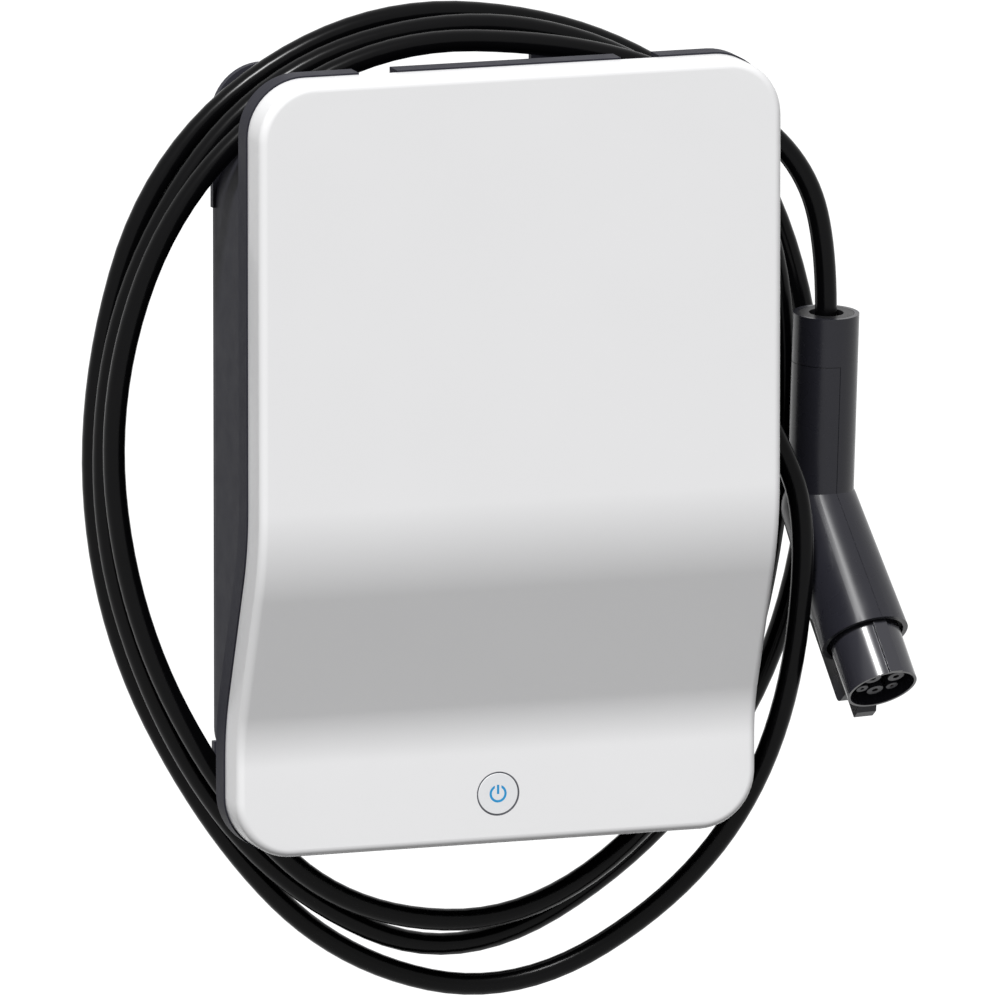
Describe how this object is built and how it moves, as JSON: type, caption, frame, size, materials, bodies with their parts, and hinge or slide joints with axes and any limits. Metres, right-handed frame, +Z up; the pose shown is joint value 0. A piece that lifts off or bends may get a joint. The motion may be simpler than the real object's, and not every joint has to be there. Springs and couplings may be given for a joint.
{
  "type": "ev wallbox",
  "caption": "wall charging box with a white S-shaped cover, its cable wound round the housing and a hand-held connector",
  "frame": {"origin": "centre of the four wall screw holes, on the wall side face of the wall plate", "axes": "+X right as seen from the front, +Y into the wall, +Z up, along the longest side of the box"},
  "size_m": [0.4936, 0.17, 0.6077],
  "materials": {
    "cover_white": "white moulded plastic with a very fine satin texture",
    "housing_grey": "dark grey moulded plastic, fine spark texture",
    "plate_grey": "dark grey moulded plastic, even matt texture",
    "seal_black": "soft black foam rubber",
    "cable_black": "smooth black cable jacket with a soft gloss",
    "connector_grey": "graphite moulded plastic with a soft sheen",
    "nose_grey": "graphite glass-filled plastic, satin",
    "button_grey": "pale grey button cap, satin",
    "symbol_blue": "lit blue light guide",
    "ring_dark": "thin dark grey ring",
    "steel_screw": "zinc plated steel",
    "sheet_steel": "galvanised sheet steel",
    "module_grey": "light grey moulded switchgear housing",
    "board_green": "green solder resist on glass laminate",
    "brass_contact": "turned brass, silver bright inside",
    "gland_black": "black polyamide",
    "insulator_black": "black heat-proof plastic"
  },
  "bodies": {
    "root": {"wall_plate": "plate_grey", "rear_housing": "housing_grey", "front_cover": "cover_white", "cover_seal": "seal_black", "cover_screws": "steel_screw", "plate_screws": "steel_screw", "button_ring": "ring_dark", "button_carrier": "insulator_black", "button_switch": "insulator_black", "button_board": "board_green", "chassis_plate": "sheet_steel", "chassis_screws": "steel_screw", "din_rail": "sheet_steel", "contactor": "module_grey", "supply_module": "module_grey", "terminal_block": "module_grey", "board_posts": "brass_contact", "main_board": "board_green", "board_screws": "steel_screw", "outlet_gland": "gland_black", "outlet_nut": "gland_black", "bend_guard": "cable_black", "entry_gland": "gland_black", "entry_nut": "gland_black", "entry_locknut": "gland_black", "charging_cable": "cable_black", "grip_shell_left": "connector_grey", "grip_shell_right": "connector_grey", "handle_screws": "steel_screw", "collar_bush": "gland_black", "cable_clamp_front": "insulator_black", "cable_clamp_rear": "insulator_black", "clamp_screws": "steel_screw", "nose_sleeve": "nose_grey", "contact_insulator": "insulator_black", "contacts": "brass_contact", "latch_pin": "steel_screw"},
    "button": {"power_button": "button_grey", "button_symbol": "symbol_blue", "button_clip": "steel_screw", "button_plunger": "insulator_black"},
    "latch": {"latch_lever": "connector_grey"}
  },
  "joints": [
    {"name": "button_press", "type": "slide", "parent": "root", "child": "button", "axis": [0, 1, 0], "range_m": [0, 0.0015], "stiffness_N_per_m": 800},
    {"name": "latch_hinge", "type": "hinge", "parent": "root", "child": "latch", "pos_m": [0.23324, -0.06396, -0.12447], "axis": [0.9877, 0.1564, 0], "range_deg": [0, 5], "stiffness_Nm_per_rad": 2}
  ]
}
